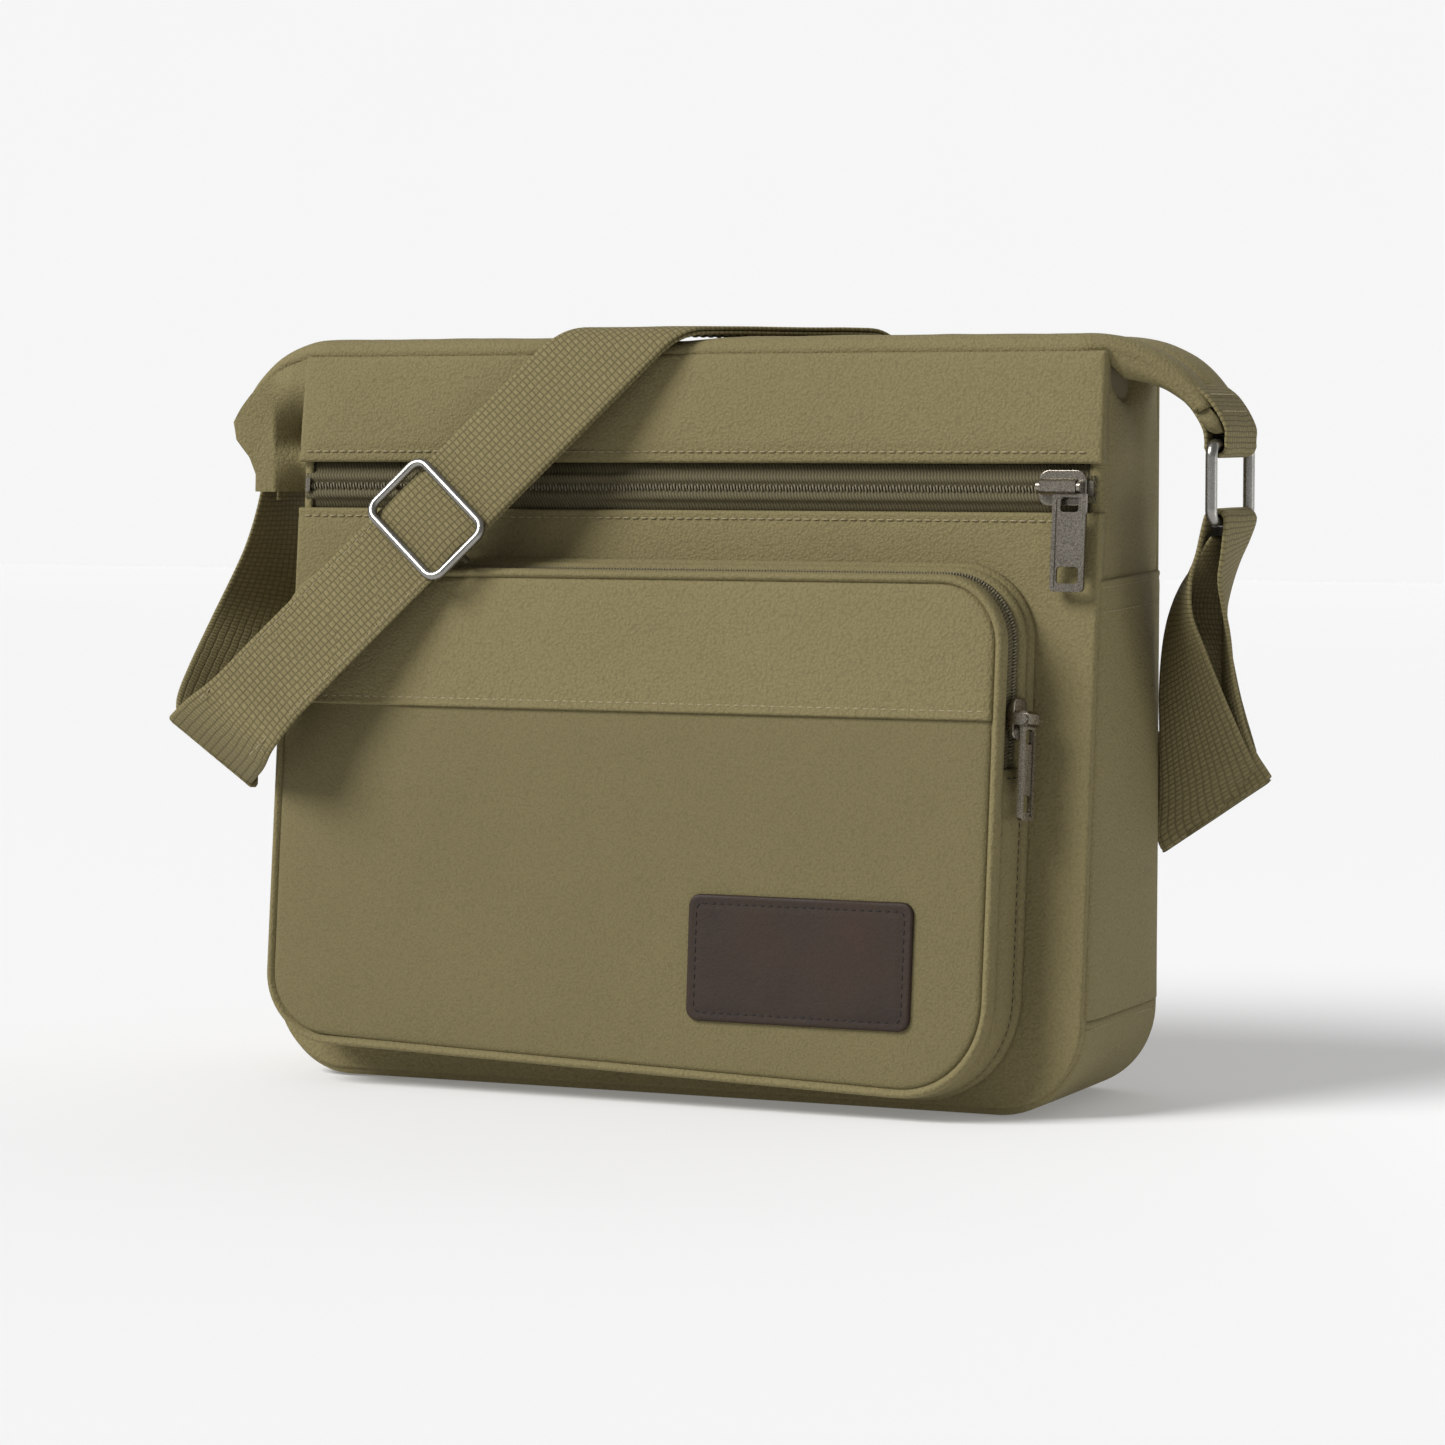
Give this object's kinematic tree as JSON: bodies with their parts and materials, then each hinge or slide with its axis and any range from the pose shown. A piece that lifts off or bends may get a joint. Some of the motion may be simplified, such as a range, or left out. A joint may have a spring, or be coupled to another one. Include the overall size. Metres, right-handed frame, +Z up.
{
  "type": "messenger bag",
  "caption": "Canvas messenger bag: leaning front, piped cargo pocket, zips with swinging pulls, ring-hung adjustable webbing shoulder strap and a leather patch.",
  "frame": {"origin": "middle of the base's resting face, on the ground", "axes": "+Z up, +X towards the wearer's left as seen from the front (the right side in a front view), front towards -Y"},
  "size_m": [0.4208, 0.1431, 0.2927],
  "materials": {
    "body_fabric": "matte pebble-grained coated canvas, olive khaki",
    "pocket_fabric": "smoother matte canvas, a little darker olive",
    "webbing": "coarse basket-weave webbing, olive khaki",
    "leather": "dark brown grained leather with a light edge",
    "zip_tape": "ribbed woven tape",
    "zip_coil": "moulded spiral coil",
    "steel": "polished nickel-plated wire",
    "gunmetal": "dark antique nickel with bright worn rims",
    "lining": "plain lining cloth",
    "foam": "soft padding",
    "board": "stiffening board"
  },
  "bodies": {
    "bag": {"back_foam": "foam", "back_panel": "body_fabric", "base_board": "board", "bottom_panel": "body_fabric", "front_panel": "body_fabric", "front_yoke": "body_fabric", "front_zip_coil": "zip_coil", "front_zip_stops": "gunmetal", "front_zip_tape": "zip_tape", "gusset_left": "body_fabric", "gusset_right": "body_fabric", "inner_sleeve": "lining", "leather_patch": "leather", "lining": "lining", "piping_back": "body_fabric", "piping_front": "body_fabric", "pocket_band": "body_fabric", "pocket_front": "pocket_fabric", "pocket_gusset": "body_fabric", "pocket_top_gusset": "body_fabric", "pocket_yoke": "body_fabric", "pocket_zip_coil": "zip_coil", "pocket_zip_tape": "zip_tape", "ring_tab_left": "webbing", "ring_tab_right": "webbing", "side_pocket_left": "body_fabric", "side_pocket_right": "body_fabric", "strap_back": "webbing", "strap_front": "webbing", "strap_left": "webbing", "strap_left_bend": "webbing", "strap_loop_left": "webbing", "strap_loop_right": "webbing", "strap_right_inner": "webbing", "strap_right_outer": "webbing", "strap_top": "webbing", "top_strip_back": "body_fabric", "top_strip_front": "body_fabric", "top_zip_coil": "zip_coil", "top_zip_stops": "gunmetal", "top_zip_tape": "zip_tape", "zip_pocket_sheet": "lining"},
    "front_slider": {"front_slider": "gunmetal"},
    "front_pull": {"front_pull": "gunmetal"},
    "pocket_slider": {"pocket_slider": "gunmetal"},
    "pocket_pull": {"pocket_pull": "gunmetal"},
    "top_slider": {"top_slider": "gunmetal"},
    "top_pull": {"top_pull": "gunmetal"},
    "ring_left": {"ring_left": "steel"},
    "ring_right": {"ring_right": "steel"},
    "adjuster": {"adjuster_frame": "steel", "adjuster_bar": "steel"}
  },
  "joints": [
    {"name": "front_zip_slide", "type": "slide", "parent": "bag", "child": "front_slider", "axis": [1, 0, 0], "range_m": [-0.3, 0], "deforming": ["pocket_top_gusset"]},
    {"name": "front_pull_hinge", "type": "hinge", "parent": "front_slider", "child": "front_pull", "pos_m": [0.153, -0.02833, 0.23155], "axis": [-1, 0, 0], "range_deg": [0, 150]},
    {"name": "pocket_zip_slide", "type": "slide", "parent": "bag", "child": "pocket_slider", "axis": [0, 0.1005, 0.9949], "range_m": [-0.005, 0.012]},
    {"name": "pocket_pull_hinge", "type": "hinge", "parent": "pocket_slider", "child": "pocket_pull", "pos_m": [0.14794, -0.04631, 0.1471], "axis": [-0.1834, -0.9781, 0.0988], "range_deg": [0, 150]},
    {"name": "top_zip_slide", "type": "slide", "parent": "bag", "child": "top_slider", "axis": [1, 0, 0], "range_m": [0, 0.3]},
    {"name": "top_pull_hinge", "type": "hinge", "parent": "top_slider", "child": "top_pull", "pos_m": [-0.15, 0.0144, 0.2864], "axis": [0, 1, 0], "range_deg": [0, 140]},
    {"name": "ring_right_swing", "type": "hinge", "parent": "bag", "child": "ring_right", "pos_m": [0.205, 0.0144, 0.247], "axis": [0, -1, 0], "range_deg": [-20, 35], "deforming": ["strap_loop_right", "strap_right_outer", "strap_right_inner"]},
    {"name": "ring_left_swing", "type": "hinge", "parent": "bag", "child": "ring_left", "pos_m": [-0.191, 0.0144, 0.262], "axis": [0, 1, 0], "range_deg": [-10, 35], "deforming": ["strap_loop_left", "strap_left"]},
    {"name": "adjuster_slide", "type": "slide", "parent": "bag", "child": "adjuster", "axis": [0.6467, 0.2833, 0.7082], "range_m": [-0.07, 0.07]}
  ]
}
